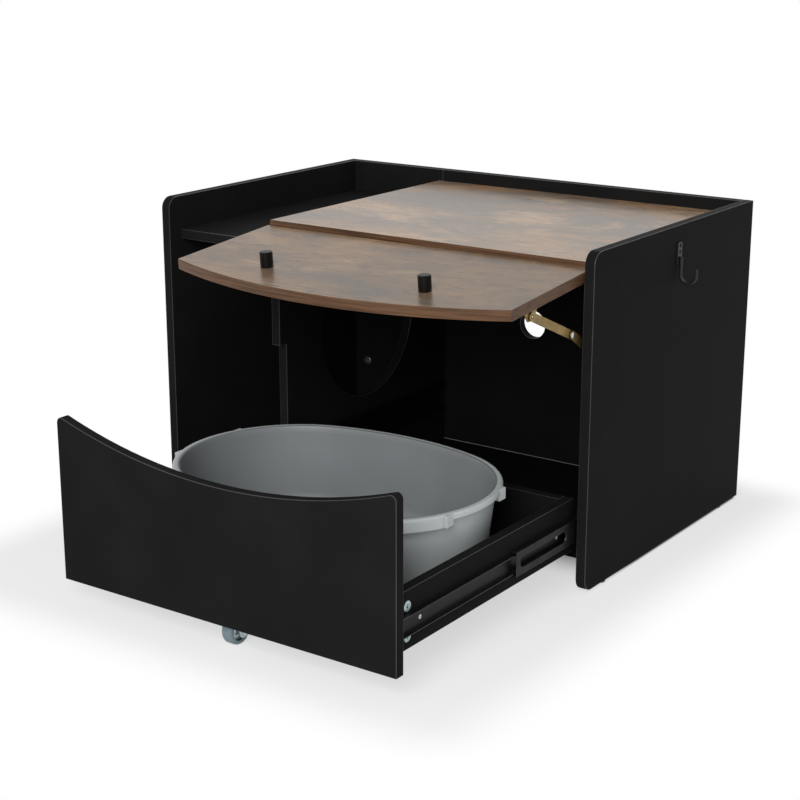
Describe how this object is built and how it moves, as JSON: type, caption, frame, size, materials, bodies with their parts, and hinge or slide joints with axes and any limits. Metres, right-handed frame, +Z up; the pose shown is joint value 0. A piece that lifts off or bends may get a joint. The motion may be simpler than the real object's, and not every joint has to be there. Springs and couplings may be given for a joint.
{
  "type": "cat litter box cabinet",
  "caption": "Board cabinet that hides a litter pan, with a side entry, a flip-up curved door on a folding stay, and a full-extension drawer.",
  "frame": {"origin": "on the floor, at the middle of the whole object's box with the drawer out and the door open", "axes": "+X to the right seen from the front, +Y to the back, +Z up"},
  "size_m": [0.7911, 0.9226, 0.48],
  "materials": {
    "black_board": "black melamine faced board, fine grain",
    "black_metal": "black powder coat",
    "bright_steel": "nickel plate",
    "glide_plastic": "black nylon",
    "pan_plastic": "fine matt moulded plastic",
    "raw_wood": "plain beech",
    "slide_black": "black electrophoretic coat",
    "slide_screw_steel": "plain steel",
    "stay_brass": "yellow passivated plate",
    "wheel_rubber": "black hard rubber",
    "wood_door": "rustic wood-look melamine, satin",
    "wood_top": "rustic wood-look melamine, satin",
    "zinc": "bright zinc plate"
  },
  "bodies": {
    "cabinet": {"left_side_panel": "black_board", "right_side_panel": "black_board", "back_board_left": "black_board", "back_board_right": "black_board", "divider_panel": "black_board", "top_board": "wood_top", "entry_roof_board": "black_board", "entry_floor_board": "black_board", "front_rail": "black_board", "floor_glides": "glide_plastic", "carcass_cam_discs": "bright_steel", "carcass_cam_bolts": "bright_steel", "top_dowels": "raw_wood", "back_board_screws": "bright_steel", "scoop_hook": "black_metal", "scoop_hook_screws": "black_metal", "slide_cabinet_member_left": "slide_black", "slide_cabinet_member_right": "slide_black", "slide_cabinet_screws": "slide_screw_steel", "hinge_top_leaf_left": "zinc", "hinge_top_leaf_right": "zinc", "hinge_pins": "bright_steel", "hinge_top_screws": "bright_steel", "stay_wall_bracket": "stay_brass", "stay_wall_pin": "bright_steel", "stay_wall_screws": "bright_steel"},
    "door": {"flip_door": "wood_door", "door_knobs": "black_metal", "knob_screws": "bright_steel", "hinge_door_leaf_left": "zinc", "hinge_door_leaf_right": "zinc", "hinge_door_screws": "bright_steel", "stay_door_bracket": "stay_brass", "stay_door_pin": "bright_steel", "stay_door_screws": "bright_steel"},
    "stay_lower": {"stay_lower_arm": "stay_brass", "stay_elbow_rivet_outer": "bright_steel"},
    "stay_upper": {"stay_upper_arm": "stay_brass", "stay_elbow_rivet_inner": "bright_steel"},
    "drawer": {"drawer_front": "black_board", "drawer_side_left": "black_board", "drawer_side_right": "black_board", "drawer_back": "black_board", "drawer_base": "black_board", "drawer_cam_discs": "bright_steel", "drawer_cam_bolts": "bright_steel", "drawer_back_screws": "bright_steel", "slide_drawer_member_left": "slide_black", "slide_drawer_member_right": "slide_black", "slide_drawer_screws": "slide_screw_steel", "caster_block": "black_board", "caster_bracket": "zinc", "caster_screws": "zinc", "caster_axle": "zinc"},
    "caster_wheel": {"caster_wheel": "wheel_rubber"},
    "pan": {"litter_pan": "pan_plastic"},
    "slide_middle_left": {"slide_middle_member_left": "slide_black", "slide_ball_cages_left": "slide_screw_steel"},
    "slide_middle_right": {"slide_middle_member_right": "slide_black", "slide_ball_cages_right": "slide_screw_steel"}
  },
  "joints": [
    {"name": "drawer_slide", "type": "slide", "parent": "cabinet", "child": "drawer", "axis": [0, 1, 0], "range_m": [0, 0.4515]},
    {"name": "slide_middle_left_slide", "type": "slide", "parent": "cabinet", "child": "slide_middle_left", "axis": [0, 1, 0], "range_m": [0, 0.22575]},
    {"name": "slide_middle_right_slide", "type": "slide", "parent": "cabinet", "child": "slide_middle_right", "axis": [0, 1, 0], "range_m": [0, 0.22575]},
    {"name": "door_hinge", "type": "hinge", "parent": "cabinet", "child": "door", "pos_m": [0.07265, -0.01675, 0.444], "axis": [1, 0, 0], "range_deg": [0, 85]},
    {"name": "stay_lower_pivot", "type": "hinge", "parent": "cabinet", "child": "stay_lower", "pos_m": [0.34575, 0.00775, 0.331], "axis": [1, 0, 0], "range_deg": [-63.54, 0]},
    {"name": "stay_upper_pivot", "type": "hinge", "parent": "door", "child": "stay_upper", "pos_m": [0.34335, -0.15945, 0.41696], "axis": [1, 0, 0], "range_deg": [0, 19.47]},
    {"name": "caster_spin", "type": "hinge", "parent": "drawer", "child": "caster_wheel", "pos_m": [0.07265, -0.42975, 0.02], "axis": [1, 0, 0], "continuous": true},
    {"name": "pan_lift", "type": "slide", "parent": "drawer", "child": "pan", "axis": [0, 0, 1], "range_m": [0, 0.15]}
  ],
  "couplings": [
    {"joint": "slide_middle_left_slide", "follows": "drawer_slide", "ratio": 0.5},
    {"joint": "slide_middle_right_slide", "follows": "drawer_slide", "ratio": 0.5},
    {"joint": "stay_lower_pivot", "follows": "door_hinge", "ratio": -0.74739},
    {"joint": "stay_upper_pivot", "follows": "door_hinge", "ratio": 0.22895}
  ]
}
